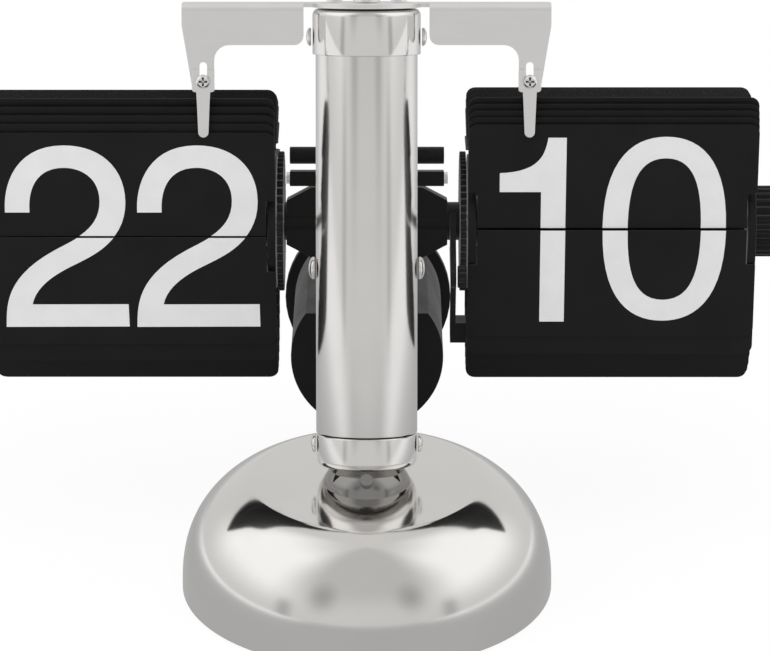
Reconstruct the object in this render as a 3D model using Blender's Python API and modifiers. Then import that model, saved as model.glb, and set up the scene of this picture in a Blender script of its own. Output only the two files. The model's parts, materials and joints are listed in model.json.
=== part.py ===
"""Flip number clock on a leaning chrome pillar: hour cards on the left, minute cards on the right.

World frame: +X to the right of the dial, +Y to the back, +Z up, origin on the table under the base.
The pillar leans back, so its pieces are parented to an empty whose +Z runs up the pillar.
"""

import math

import bmesh
import bpy
from mathutils import Matrix, Vector

MM = 0.001
CLEARANCE = 0.3 * MM
RUNNING = 0.08 * MM

# Base
DOME_RADIUS = 45.0 * MM
DOME_HEIGHT = 28.0 * MM
DOME_SHOULDER = 17.0 * MM
DOME_CREST_POWER = 1.4
DOME_SIDE_POWER = 2.6
DOME_WALL = 2.5 * MM
DOME_LIFT = 0.6 * MM
FOOT_PAD_RADIUS = DOME_RADIUS - 6.0 * MM
FOOT_PAD_THICK = 1.2 * MM
BASE_PLATE_THICK = 1.6 * MM
WEIGHT_RADIUS = DOME_RADIUS - 11.0 * MM
WEIGHT_HEIGHT = DOME_HEIGHT - 16.0 * MM

# Pillar, measured along its own axis from a point just over the crown of the dome
PILLAR_LEAN = math.radians(17.0)
TUBE_RADIUS = 12.2 * MM
TUBE_WALL = 1.2 * MM
TUBE_BOTTOM = 10.6 * MM
TUBE_LENGTH = 100.4 * MM
NECK_RADIUS = 10.9 * MM
NECK_TOP_RADIUS = 8.8 * MM
NECK_FLARE = 4.6 * MM
NECK_DEPTH = 7.0 * MM
NECK_SPIGOT_RADIUS = 6.0 * MM
NECK_HOLE_RADIUS = 1.7 * MM
NECK_HOLE_HEIGHT = 4.5 * MM
NECK_HOLE_DEPTH = 3.0 * MM
COLLAR_RADIUS = TUBE_RADIUS - 0.15 * MM
COLLAR_BOTTOM = 2.4 * MM
COLLAR_SPIGOT = 9.0 * MM
COLLAR_ROUND = 2.0 * MM
COLLAR_GAP = 0.3068 * MM
CAP_RADIUS = TUBE_RADIUS + CLEARANCE + 0.45 * MM
CAP_SKIRT = 9.6 * MM
CAP_TOP_THICK = 1.3 * MM
CAP_ROUND = 1.6 * MM
COLLAR_HEEL = (COLLAR_RADIUS - COLLAR_ROUND) * math.sin(PILLAR_LEAN) - COLLAR_BOTTOM * math.cos(PILLAR_LEAN)
PILLAR_RISE = COLLAR_HEEL + COLLAR_GAP

# Hanger bracket and its spring fingers
SHEET = 1.0 * MM
ARM_REACH = 44.0 * MM
ARM_BACK = 7.0 * MM
BEND_RADIUS = 2.0 * MM
ARM_INNER = CAP_RADIUS + 2.05 * MM
ARM_PLANE = TUBE_RADIUS - 15.9 * MM
ARM_DROP = 9.4 * MM
LUG_DROP = 20.4 * MM
FINGER_X = 38.9 * MM
LUG_INNER = FINGER_X - 2.6 * MM
LUG_OUTER = FINGER_X + 2.5 * MM
ARM_FILLET = 3.6 * MM
ARM_CORNER = 2.2 * MM
FINGER_THICK = 0.4 * MM
FINGER_HEAD_WIDTH = 5.4 * MM
FINGER_HEAD_TOP = 15.2 * MM
FINGER_HEAD_BOTTOM = 20.6 * MM
FINGER_HEAD_ROUND = 0.8 * MM
FINGER_SLOT_TOP = 13.45 * MM
FINGER_SLOT_WIDTH = 1.83 * MM
FINGER_TIP_DROP = 31.4 * MM
FINGER_ROOT_WIDTH = 3.3 * MM
FINGER_TIP_WIDTH = 2.5 * MM
FINGER_SCREW_DROP = 18.0 * MM
FINGER_SCREW_RADIUS = 1.65 * MM
FINGER_SCREW_HEAD = 1.1 * MM
CROSS_WIDTH = 0.5 * MM
CROSS_DEPTH = 0.5 * MM

# Round-headed screws: radius, height of the head
CAP_SCREW = (3.2 * MM, 2.2 * MM)
PLATE_SCREW = (1.9 * MM, 1.2 * MM)
SIDE_SCREW = (2.2 * MM, 1.2 * MM)
PILLAR_RIVET = (2.7 * MM, 1.5 * MM)
PLATE_SCREW_X = 7.7 * MM
PLATE_SCREW_BACK = 5.0 * MM
COLLAR_SCREW_HEIGHT = 7.8 * MM
PILLAR_RIVET_BELOW_AXLE = 9.6 * MM
CAP_SCREW_BELOW_TUBE_TOP = 5.2 * MM

# Card drums
PIVOT_RADIUS = 15.5 * MM
AXLE_BELOW_TUBE_TOP = 51.1 * MM
AXLE_HEIGHT_ON_PILLAR = TUBE_BOTTOM + TUBE_LENGTH - AXLE_BELOW_TUBE_TOP
AXLE_BEHIND_PILLAR = TUBE_RADIUS + PIVOT_RADIUS - 8.2 * MM
AXLE_RADIUS = 2.5 * MM
CARD_WIDTH = 69.5 * MM
CARD_LENGTH = 26.6 * MM
CARD_THICK = 0.36 * MM
CARD_CORNER = 2.2 * MM
MINUTE_INNER_X = 24.4 * MM
HOUR_INNER_X = 22.0 * MM
FLANGE_RADIUS = PIVOT_RADIUS + 0.9 * MM
FLANGE_THICK = 2.0 * MM
HUB_RADIUS = 6.0 * MM
NOTCH_LENGTH = 11.6 * MM
FLAP_NOTCH_LENGTH = 8.9 * MM
LOWER_NOTCH_SPARE = 0.3080 * MM
NOTCH_SLOPE = 0.2 * MM
MINUTE_PINS = 60
HOUR_PINS = 48
PIN_RING_RADIUS = PIVOT_RADIUS + 1.6 * MM
PIN_DEPTH = 1.0 * MM
PIN_RING_THICK = 1.5 * MM
MINUTE_SPLIT_ANGLE = 16.37
HOUR_SPLIT_ANGLE = 9.13
SPLIT_GAP = 0.3 * MM
STANDING_CARDS = 4
MINUTE_STEP = 6.0
HOUR_STEP = 7.5
HANGING_ANGLE = 24.0
FLAP_FORWARD = 0.3 * MM
FLAP_SET_BACK = 0.6 * MM
LOWER_CARD_FRONT = PIVOT_RADIUS + 0.45 * MM
PACK_FIRST_ANGLE = 36.0
PACK_LAST_ANGLE = 330.0
PACK_STEP = 13.5
PACK_CARD_SINK = 0.5 * MM
PACK_CARD_EXTRA = 0.75 * MM
MINUTE_LEAN = (45.4, 0.6)
HOUR_LEAN = (50.0, 1.15)
PACK_RING_WALL = 1.6 * MM

# Setting knob and left end nut
KNOB_RADIUS = 8.7 * MM
KNOB_LENGTH = 8.0 * MM
KNOB_RIBS = 24
KNOB_RIB_DEPTH = 0.7 * MM
END_NUT_RADIUS = 5.0 * MM
END_NUT_LENGTH = 3.5 * MM

# Works behind the pillar
SLEEVE_RADIUS = 4.7 * MM
BACK_PLATE_THICK = 2.0 * MM
BACK_PLATE_WIDTH = 15.0 * MM
BACK_PLATE_BELOW_AXLE = 23.9 * MM
BACK_PLATE_ABOVE_AXLE = 17.1 * MM
BLOCK_HALF_WIDTH = 13.5 * MM
BLOCK_WING = 19.6 * MM
BLOCK_HALF_HEIGHT = 8.6 * MM
BLOCK_WING_HEIGHT = 5.4 * MM
BLOCK_DEPTH = 5.0 * MM
BAR_HALF_LENGTH = 18.8 * MM
BAR_RADIUS = 2.1 * MM
BAR_GAP = 1.7 * MM
GUARD_THICK = 3.6 * MM
GUARD_DEPTH = 6.0 * MM
STEEL_PIN_RADIUS = 1.45 * MM
STEEL_PIN_REACH = 19.8 * MM
PINION_TEETH = 10
PINION_RADIUS = 2.7 * MM
PINION_TOOTH = 0.6 * MM
PINION_ANGLE = math.radians(20.0)
PINION_LENGTH = 2.2 * MM
PINION_ARM_THICK = 1.4 * MM
TAIL_END = (-11.5 * MM, -23.8 * MM)
TAIL_FOOT = (5.0 * MM, 5.2 * MM)

# Battery case, in its own frame running back from behind the pillar
CASE_UP_PILLAR = 26.483 * MM
CASE_BEHIND_PILLAR = TUBE_RADIUS + 5.846 * MM
CASE_TILT = math.radians(6.6)
CASE_LENGTH = 52.0 * MM
SADDLE_WIDTH = 14.0 * MM
SADDLE_SPAN = (14.0 * MM, 31.0 * MM)
SADDLE_REACH = (-12.0 * MM, 9.5 * MM)
CASE_RADIUS = 18.7 * MM
CASE_WALL = 1.8 * MM
CASE_FLAT_TOP = 11.2 * MM
CASE_FLAT_BOTTOM = 14.6 * MM
COVER_RADIUS = 21.2 * MM
COVER_THICK = 3.0 * MM
COVER_OPENING = 13.6 * MM
DOOR_RADIUS = 15.6 * MM
DOOR_THICK = 2.0 * MM
DOOR_GRIP = 1.5 * MM
CELL_RADIUS = 7.25 * MM
CELL_LENGTH = 50.0 * MM
MOVEMENT_WIDTH = 22.0 * MM
MOVEMENT_LENGTH = 46.0 * MM

# Facets
LARGE_STEPS = 48
SMALL_STEPS = 24
ARC_STEPS = 5


def clear_scene():
    for obj in list(bpy.data.objects):
        bpy.data.objects.remove(obj)


def new_collection(name):
    collection = bpy.data.collections.new(name)
    bpy.context.scene.collection.children.link(collection)
    return collection


clear_scene()
CLOCK = new_collection("flip_clock")
CUTTERS = new_collection("cutters")


def material(name, colour, metallic, roughness):
    made = bpy.data.materials.new(name)
    made.use_nodes = True
    shader = made.node_tree.nodes["Principled BSDF"]
    shader.inputs["Base Color"].default_value = (*colour, 1.0)
    shader.inputs["Metallic"].default_value = metallic
    shader.inputs["Roughness"].default_value = roughness
    return made


CHROME = material("chrome", (0.78, 0.76, 0.74), 1.0, 0.08)
SATIN_STEEL = material("satin_steel", (0.66, 0.66, 0.65), 1.0, 0.32)
CARD_BLACK = material("card_black", (0.012, 0.012, 0.012), 0.0, 0.45)
MOULDED_BLACK = material("moulded_black", (0.015, 0.015, 0.015), 0.0, 0.35)
CAST_IRON = material("cast_iron", (0.10, 0.10, 0.10), 1.0, 0.6)
RUBBER = material("rubber", (0.02, 0.02, 0.02), 0.0, 0.8)
CELL_JACKET = material("cell_jacket", (0.25, 0.25, 0.27), 0.0, 0.4)


def empty(name, location, rotation):
    made = bpy.data.objects.new(name, None)
    made.location = location
    made.rotation_euler = rotation
    CLOCK.objects.link(made)
    return made


def add_object(name, mesh, finish, parent=None, location=(0, 0, 0), rotation=(0, 0, 0)):
    made = bpy.data.objects.new(name, mesh)
    made.location = location
    made.rotation_euler = rotation
    made.parent = parent
    if finish is not None and not mesh.materials:
        mesh.materials.append(finish)
    CLOCK.objects.link(made)
    return made


def smooth(mesh, angle=math.radians(40)):
    mesh.shade_smooth()
    mesh.set_sharp_from_angle(angle=angle)


def circle_arc(centre, radius, start, end, steps=ARC_STEPS):
    """Points on an arc from start to end, in degrees."""
    points = []
    for i in range(steps + 1):
        angle = math.radians(start + (end - start) * i / steps)
        points.append((centre[0] + radius * math.cos(angle), centre[1] + radius * math.sin(angle)))
    return points


def polar(radius, angle):
    """The point at a radius and an angle in degrees."""
    turn = math.radians(angle)
    return (radius * math.cos(turn), radius * math.sin(turn))


def turned_mesh(name, profile, steps=LARGE_STEPS, closed=False):
    """A profile of (radius, height) points, run down its outer side and turned about Z."""
    mesh = bpy.data.meshes.new(name)
    edges = [(i, i + 1) for i in range(len(profile) - 1)]
    if closed:
        edges.append((len(profile) - 1, 0))
    mesh.from_pydata([(radius, 0.0, height) for radius, height in profile], edges, [])
    guide = bpy.data.objects.new(name + "_profile", mesh)
    CUTTERS.objects.link(guide)
    screw = guide.modifiers.new("turn", "SCREW")
    screw.axis = "Z"
    screw.steps = steps
    screw.render_steps = steps
    screw.use_merge_vertices = True
    screw.merge_threshold = 1e-6
    solid = mesh_of(guide, name)
    smooth(solid)
    return solid


def mesh_of(obj, name):
    """The evaluated mesh of a helper object, with its loose caps welded; the helper is removed."""
    bpy.context.view_layer.update()
    graph = bpy.context.evaluated_depsgraph_get()
    mesh = bpy.data.meshes.new_from_object(obj.evaluated_get(graph))
    mesh.name = name
    shape = bmesh.new()
    shape.from_mesh(mesh)
    bmesh.ops.remove_doubles(shape, verts=shape.verts, dist=1e-7)
    bmesh.ops.recalc_face_normals(shape, faces=shape.faces)
    shape.to_mesh(mesh)
    shape.free()
    bpy.data.objects.remove(obj)
    return mesh


def sheet_mesh(name, outline, thickness):
    """A flat outline in XY, given a thickness centred on its plane."""
    curve = bpy.data.curves.new(name + "_outline", "CURVE")
    curve.dimensions = "2D"
    curve.fill_mode = "BOTH"
    curve.extrude = thickness / 2
    spline = curve.splines.new("POLY")
    spline.points.add(len(outline) - 1)
    for point, (x, y) in zip(spline.points, outline):
        point.co = (x, y, 0.0, 1.0)
    spline.use_cyclic_u = True
    guide = bpy.data.objects.new(name + "_outline", curve)
    CUTTERS.objects.link(guide)
    return mesh_of(guide, name)


def box_mesh(name, low, high):
    mesh = bpy.data.meshes.new(name)
    shape = bmesh.new()
    bmesh.ops.create_cube(shape, size=1.0)
    size = Vector(high) - Vector(low)
    middle = (Vector(high) + Vector(low)) / 2
    stretch = Matrix.Translation(middle) @ Matrix.Diagonal((*size, 1))
    bmesh.ops.transform(shape, verts=shape.verts, matrix=stretch)
    shape.to_mesh(mesh)
    shape.free()
    return mesh


def cylinder_mesh(name, radius, length, steps=SMALL_STEPS):
    """A cylinder along Z, centred on its origin."""
    mesh = bpy.data.meshes.new(name)
    shape = bmesh.new()
    bmesh.ops.create_cone(
        shape, cap_ends=True, segments=steps, radius1=radius, radius2=radius, depth=length
    )
    shape.to_mesh(mesh)
    shape.free()
    smooth(mesh)
    return mesh


def cutter(name, mesh, parent=None, location=(0, 0, 0), rotation=(0, 0, 0)):
    made = bpy.data.objects.new(name, mesh)
    made.location = location
    made.rotation_euler = rotation
    made.parent = parent
    made.hide_render = True
    made.display_type = "WIRE"
    CUTTERS.objects.link(made)
    return made


def boolean(obj, other, operation):
    change = obj.modifiers.new(operation.lower() + "_" + other.name, "BOOLEAN")
    change.operation = operation
    change.object = other
    change.solver = "EXACT"


ALONG_X = (0.0, math.pi / 2, 0.0)
STANDING = (math.pi / 2, 0.0, 0.0)
ON_EDGE = Matrix(((0, 0, 1), (1, 0, 0), (0, 1, 0))).to_euler()
PILLAR_FOOT = DOME_LIFT + DOME_HEIGHT + PILLAR_RISE
PILLAR = empty("pillar_axis", (0, 0, PILLAR_FOOT), (-PILLAR_LEAN, 0, 0))


def on_pillar(x, back, height):
    """World place of a point given across, behind and up the pillar."""
    turn = Matrix.Rotation(-PILLAR_LEAN, 3, "X")
    return Vector((0, 0, PILLAR_FOOT)) + turn @ Vector((x, back, height))


AXLE = on_pillar(0, AXLE_BEHIND_PILLAR, AXLE_HEIGHT_ON_PILLAR)
DRUM_AXIS = empty("drum_axis", AXLE, (0, 0, 0))
CASE_FRONT = on_pillar(0, CASE_BEHIND_PILLAR, CASE_UP_PILLAR)


# Base: a hollow dome over an iron weight, a floor plate and a rubber foot
def dome_profile(radius, height, count):
    """From the crown over its flat and round the shoulder, down to the rim."""
    flat = DOME_RADIUS - DOME_SHOULDER
    points = [(0.0, height)]
    for i in range(count + 1):
        angle = math.pi / 2 * i / count
        across = flat + (radius - flat) * math.sin(angle) ** (2 / DOME_CREST_POWER)
        up = height * math.cos(angle) ** (2 / DOME_SIDE_POWER)
        points.append((across if i else flat, up if i < count else 0.0))
    return points


def make_base():
    outer = dome_profile(DOME_RADIUS, DOME_HEIGHT, 16)
    inner = dome_profile(DOME_RADIUS - DOME_WALL, DOME_HEIGHT - DOME_WALL, 12)
    profile = outer + inner[::-1]
    dome = add_object("base_dome", turned_mesh("base_dome", profile), CHROME, location=(0, 0, DOME_LIFT))
    neck_bore = cylinder_mesh("neck_bore", NECK_RADIUS + CLEARANCE, 4 * NECK_DEPTH, LARGE_STEPS)
    boolean(dome, cutter("neck_bore", neck_bore, PILLAR), "DIFFERENCE")

    pad = cylinder_mesh("foot_pad", FOOT_PAD_RADIUS, FOOT_PAD_THICK, LARGE_STEPS)
    add_object("foot_pad", pad, RUBBER, location=(0, 0, FOOT_PAD_THICK / 2))
    plate_radius = DOME_RADIUS - DOME_WALL - 2 * CLEARANCE
    plate_bottom = FOOT_PAD_THICK + CLEARANCE
    plate = cylinder_mesh("base_plate", plate_radius, BASE_PLATE_THICK, LARGE_STEPS)
    add_object("base_plate", plate, SATIN_STEEL, location=(0, 0, plate_bottom + BASE_PLATE_THICK / 2))
    weight_bottom = plate_bottom + BASE_PLATE_THICK + CLEARANCE
    weight = cylinder_mesh("base_weight", WEIGHT_RADIUS, WEIGHT_HEIGHT, LARGE_STEPS)
    add_object("base_weight", weight, CAST_IRON, location=(0, 0, weight_bottom + WEIGHT_HEIGHT / 2))


# Pillar: neck, collar, tube and cap
def make_pillar():
    spigot_top = COLLAR_BOTTOM + COLLAR_SPIGOT
    neck_top = COLLAR_BOTTOM - CLEARANCE
    flare = []
    for i in range(ARC_STEPS + 1):
        share = math.sin(math.pi / 2 * i / ARC_STEPS)
        radius = NECK_TOP_RADIUS + (NECK_RADIUS - NECK_TOP_RADIUS) * share
        flare.append((radius, neck_top - NECK_FLARE * i / ARC_STEPS))
    neck = add_object(
        "pillar_neck",
        turned_mesh(
            "pillar_neck",
            [
                (0, spigot_top),
                (NECK_SPIGOT_RADIUS, spigot_top),
                (NECK_SPIGOT_RADIUS, neck_top),
                *flare,
                (NECK_RADIUS, -NECK_DEPTH),
                (0, -NECK_DEPTH),
            ],
        ),
        CHROME,
        PILLAR,
    )
    hole = cylinder_mesh("neck_hole", NECK_HOLE_RADIUS, 2 * NECK_HOLE_DEPTH, 16)
    front = (0, -NECK_RADIUS, neck_top - NECK_HOLE_HEIGHT / 2)
    boolean(neck, cutter("neck_hole", hole, PILLAR, front, (math.pi / 2, 0, 0)), "DIFFERENCE")

    bore = NECK_SPIGOT_RADIUS + CLEARANCE
    step = TUBE_BOTTOM - CLEARANCE
    rounded = circle_arc((COLLAR_RADIUS - COLLAR_ROUND, COLLAR_BOTTOM + COLLAR_ROUND), COLLAR_ROUND, 0, -90)
    inside_tube = TUBE_RADIUS - TUBE_WALL - CLEARANCE
    collar = [(bore, step + COLLAR_SPIGOT), (inside_tube, step + COLLAR_SPIGOT), (inside_tube, step)]
    collar += [(COLLAR_RADIUS, step)] + rounded + [(bore, COLLAR_BOTTOM)]
    add_object("pillar_collar", turned_mesh("pillar_collar", collar, closed=True), CHROME, PILLAR)

    top = TUBE_BOTTOM + TUBE_LENGTH
    bottom = TUBE_BOTTOM
    inner = TUBE_RADIUS - TUBE_WALL
    tube = [(inner, top), (TUBE_RADIUS, top), (TUBE_RADIUS, bottom), (inner, bottom)]
    add_object("pillar_tube", turned_mesh("pillar_tube", tube, closed=True), CHROME, PILLAR)

    ceiling = top + CLEARANCE
    crown = ceiling + CAP_TOP_THICK
    skirt = ceiling - CAP_SKIRT
    shoulder = circle_arc((CAP_RADIUS - CAP_ROUND, crown - CAP_ROUND), CAP_ROUND, 90, 0)
    fit = TUBE_RADIUS + CLEARANCE
    cap = [(0, crown)] + shoulder + [(CAP_RADIUS, skirt), (fit, skirt), (fit, ceiling), (0, ceiling)]
    add_object("pillar_cap", turned_mesh("pillar_cap", cap), CHROME, PILLAR)
    return crown


# Hanger bracket: a strip folded down in front, cut out between its two lugs, with a disc over the cap
def fold_outline(seat, bottom):
    """Section of the folded strip, in back and up: its top, the bend and the front."""
    front = ARM_PLANE - SHEET / 2
    centre = (front + BEND_RADIUS, seat + SHEET - BEND_RADIUS)
    outline = [(ARM_BACK, seat + SHEET)] + circle_arc(centre, BEND_RADIUS, 90, 180)
    outline += [(front, bottom), (front + SHEET, bottom)]
    return outline + circle_arc(centre, BEND_RADIUS - SHEET, 180, 90) + [(ARM_BACK, seat)]


def between_outline(fold):
    """What is cut away between the lugs, seen from the front."""
    arm_bottom = fold - ARM_DROP
    below = fold - LUG_DROP - SHEET
    side = [(ARM_INNER, fold + 2 * SHEET)]
    side += circle_arc((ARM_INNER + ARM_CORNER, arm_bottom + ARM_CORNER), ARM_CORNER, 180, 270)
    side += circle_arc((LUG_INNER - ARM_FILLET, arm_bottom - ARM_FILLET), ARM_FILLET, 90, 0)
    side += [(LUG_INNER, below)]
    return side + [(-x, y) for x, y in reversed(side)]


def beside_outline(fold):
    """What is cut away outside the right lug, so that its edge slopes in."""
    low = Vector((LUG_OUTER, fold - LUG_DROP))
    high = Vector((ARM_REACH, fold - 0.5 * ARM_DROP))
    run = 0.2 * (high - low)
    low, high = low - run, high + run
    wide = ARM_REACH + ARM_BACK
    return [(low.x, low.y), (wide, low.y), (wide, high.y), (high.x, high.y)]


def finger_outline():
    """A spring finger with its screw slot open above: Y runs up, zero at the bracket's fold."""
    head = FINGER_HEAD_WIDTH / 2
    root = FINGER_ROOT_WIDTH / 2
    tip = FINGER_TIP_WIDTH / 2
    round_tip = circle_arc((0, -FINGER_TIP_DROP + tip), tip, 180, 360, 2 * ARC_STEPS)
    corner = FINGER_HEAD_ROUND
    low = corner - FINGER_HEAD_BOTTOM
    half = FINGER_SLOT_WIDTH / 2
    outline = [(head, -FINGER_HEAD_TOP), (half, -FINGER_HEAD_TOP)]
    outline += circle_arc((0, -FINGER_SCREW_DROP), half, 360, 180, 2 * ARC_STEPS)
    outline += [(-half, -FINGER_HEAD_TOP), (-head, -FINGER_HEAD_TOP)]
    outline += circle_arc((corner - head, low), corner, 180, 270) + [(-root, low - corner)] + round_tip
    outline += [(root, low - corner)] + circle_arc((head - corner, low), corner, 270, 360)
    return outline


def slot_outline():
    """The upright slot in a lug that the finger screw can slide in."""
    half = FINGER_SLOT_WIDTH / 2
    top = circle_arc((0, -FINGER_SLOT_TOP - half), half, 0, 180, 2 * ARC_STEPS)
    return top + circle_arc((0, -FINGER_SCREW_DROP), half, 180, 360, 2 * ARC_STEPS)


def make_bracket(crown):
    seat = crown + CLEARANCE
    fold = seat + SHEET / 2
    strip = sheet_mesh("hanger_bracket", fold_outline(seat, fold - LUG_DROP), 2 * ARM_REACH)
    bracket = add_object("hanger_bracket", strip, SATIN_STEEL, PILLAR, (0, 0, 0), ON_EDGE)
    front = (0, ARM_PLANE, 0)
    window = sheet_mesh("between_lugs", between_outline(fold), 2 * BEND_RADIUS + SHEET)
    boolean(bracket, cutter("between_lugs", window, PILLAR, front, STANDING), "DIFFERENCE")
    for side, sign in (("right", 1), ("left", -1)):
        outline = [(sign * x, y) for x, y in beside_outline(fold)]
        slope = sheet_mesh("beside_lug_" + side, outline, 2 * BEND_RADIUS)
        boolean(bracket, cutter("beside_lug_" + side, slope, PILLAR, front, STANDING), "DIFFERENCE")
    disc = cylinder_mesh("bracket_disc", CAP_RADIUS, 1.04 * SHEET, LARGE_STEPS)
    boolean(bracket, cutter("bracket_disc", disc, PILLAR, (0, 0, fold)), "UNION")

    finger_plane = ARM_PLANE - SHEET / 2 - CLEARANCE - FINGER_THICK / 2
    finger = sheet_mesh("spring_finger", finger_outline(), FINGER_THICK)
    screw = pan_head_mesh()
    screw_plane = finger_plane - FINGER_THICK / 2 - CLEARANCE
    slot = sheet_mesh("finger_slot", slot_outline(), 4 * SHEET)
    for side, sign in (("left", -1), ("right", 1)):
        x = sign * FINGER_X
        add_object("spring_finger_" + side, finger, SATIN_STEEL, PILLAR, (x, finger_plane, fold), STANDING)
        opening = cutter("finger_slot_" + side, slot, PILLAR, (x, ARM_PLANE, fold), STANDING)
        boolean(bracket, opening, "DIFFERENCE")
        place = (x, screw_plane, fold - FINGER_SCREW_DROP)
        head = add_object("finger_screw_" + side, screw, SATIN_STEEL, PILLAR, place, STANDING)
        cut_cross(head, side, place)
    return seat + SHEET


def pan_head_mesh():
    edge = 0.4 * FINGER_SCREW_HEAD
    profile = [(0, FINGER_SCREW_HEAD), (0.7 * FINGER_SCREW_RADIUS, FINGER_SCREW_HEAD)]
    profile += [(FINGER_SCREW_RADIUS, edge), (FINGER_SCREW_RADIUS, 0), (0, 0)]
    return turned_mesh("finger_screw", profile, 20)


def cut_cross(head, side, place):
    """A cross recess, cut by two crossed bars."""
    reach = 0.62 * FINGER_SCREW_RADIUS
    half = CROSS_WIDTH / 2
    for turn, (x, y) in (("flat", (reach, half)), ("upright", (half, reach))):
        low = (-x, -y, FINGER_SCREW_HEAD - CROSS_DEPTH)
        bar = box_mesh("cross_" + turn, low, (x, y, 2 * FINGER_SCREW_HEAD))
        boolean(head, cutter("cross_" + turn + "_" + side, bar, PILLAR, place, STANDING), "DIFFERENCE")


# Round screw and rivet heads
def round_head_mesh(name, size, steps=SMALL_STEPS):
    radius, height = size
    profile = [(0.0, height)]
    for i in range(1, ARC_STEPS + 1):
        angle = math.pi / 2 * i / ARC_STEPS
        profile.append((radius * math.sin(angle), height * (0.25 + 0.75 * math.cos(angle))))
    return turned_mesh(name, profile + [(radius, 0), (0, 0)], steps)


def make_screws(plate_top):
    seat = plate_top + CLEARANCE
    add_object("cap_screw", round_head_mesh("cap_screw", CAP_SCREW), CHROME, PILLAR, (0, 0, seat))
    plate_screw = round_head_mesh("plate_screw", PLATE_SCREW, 16)
    side_screw = round_head_mesh("side_screw", SIDE_SCREW, 20)
    rivet = round_head_mesh("pillar_rivet", PILLAR_RIVET, 20)
    for side, sign in (("left", -1), ("right", 1)):
        facing = (0, sign * math.pi / 2, 0)
        place = (sign * PLATE_SCREW_X, PLATE_SCREW_BACK, seat)
        add_object("plate_screw_" + side, plate_screw, SATIN_STEEL, PILLAR, place)
        collar_place = (sign * (COLLAR_RADIUS + CLEARANCE), 0, COLLAR_SCREW_HEIGHT)
        add_object("collar_screw_" + side, side_screw, CHROME, PILLAR, collar_place, facing)
        rivet_place = (sign * (TUBE_RADIUS + CLEARANCE), 0, AXLE_HEIGHT_ON_PILLAR - PILLAR_RIVET_BELOW_AXLE)
        add_object("pillar_rivet_" + side, rivet, CHROME, PILLAR, rivet_place, facing)
        cap_screw_height = TUBE_BOTTOM + TUBE_LENGTH - CAP_SCREW_BELOW_TUBE_TOP
        cap_place = (sign * (CAP_RADIUS + CLEARANCE), 0, cap_screw_height)
        add_object("cap_side_screw_" + side, side_screw, CHROME, PILLAR, cap_place, facing)


# Cards
def card_outline(notch_length=NOTCH_LENGTH, root=0.0, extra=0.0):
    """A card lying in XY, pivot edge along X (or root below it), free edge with rounded corners at +Y."""
    length = CARD_LENGTH + extra
    notch = FLANGE_THICK + CLEARANCE
    right = CARD_WIDTH
    corner = CARD_CORNER
    ear = notch_length + NOTCH_SLOPE
    outline = [(notch, -root), (right - notch, -root), (right - notch, notch_length), (right, ear)]
    outline += circle_arc((right - corner, length - corner), corner, 0, 90)
    outline += circle_arc((corner, length - corner), corner, 90, 180)
    return outline + [(0, ear), (notch, notch_length)]


def pivot(angle, radius=PIVOT_RADIUS):
    """Place on the drum, in degrees from the front and over the top: (back, up) from the axle."""
    turn = math.radians(angle)
    return Vector((-radius * math.cos(turn), radius * math.sin(turn)))


def add_card(name, mesh, left_x, place, slope):
    location = (left_x, place.x, place.y)
    return add_object(name, mesh, CARD_BLACK, DRUM_AXIS, location, (math.radians(slope), 0, 0))


def fallen_slope(angle, lean):
    """How a card lies once it has gone over the top: leaning back, then hanging."""
    first, rate = lean
    leaning = max(first - rate * (angle - 45.0), 24.0 - 0.5 * (angle - 72.0))
    hanging = max(-82.0, 2.4 - 1.05 * (angle - 110.0))
    return leaning if angle < 110.0 else hanging


def pack_ring_outline(start, end):
    """The arc that joins the pivots of the cards at the back of the drum."""
    steps = 30
    turns = [start + (end - start) * i / steps for i in range(steps + 1)]
    outline = [pivot(turn) for turn in turns]
    outline += [pivot(turn, PIVOT_RADIUS - PACK_RING_WALL) for turn in reversed(turns)]
    return [(point.x, point.y) for point in outline]


def lower_notch():
    """How far the notch of a lower card runs, to pass the flange of its drum."""
    behind = LOWER_CARD_FRONT - CARD_THICK / 2
    flange = math.sqrt(FLANGE_RADIUS**2 - behind**2)
    return pivot(MINUTE_SPLIT_ANGLE - MINUTE_STEP).y + flange + LOWER_NOTCH_SPARE


def make_pack(drum, left_x, split, lean):
    """The cards that lie at the back and hang below, as one piece with the arc of their pivots."""
    angles = []
    angle = split + PACK_FIRST_ANGLE
    while angle < split + PACK_LAST_ANGLE:
        angles.append(angle)
        angle += PACK_STEP
    card = sheet_mesh(drum + "_pack_card", card_outline(extra=PACK_CARD_EXTRA), CARD_THICK)
    ring_width = CARD_WIDTH - 2 * (FLANGE_THICK + 2 * CLEARANCE)
    ring = sheet_mesh(drum + "_card_pack", pack_ring_outline(angles[0] - 2, angles[-1] + 2), ring_width)
    middle = (left_x + CARD_WIDTH / 2, 0, 0)
    pack = add_object(drum + "_card_pack", ring, CARD_BLACK, DRUM_AXIS, middle, ON_EDGE)
    for i, angle in enumerate(angles):
        place = pivot(angle, PIVOT_RADIUS - PACK_CARD_SINK)
        turn = (math.radians(fallen_slope(angle, lean)), 0, 0)
        blade = cutter(f"{drum}_pack_card_{i}", card, DRUM_AXIS, (left_x, place.x, place.y), turn)
        boolean(pack, blade, "UNION")


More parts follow.
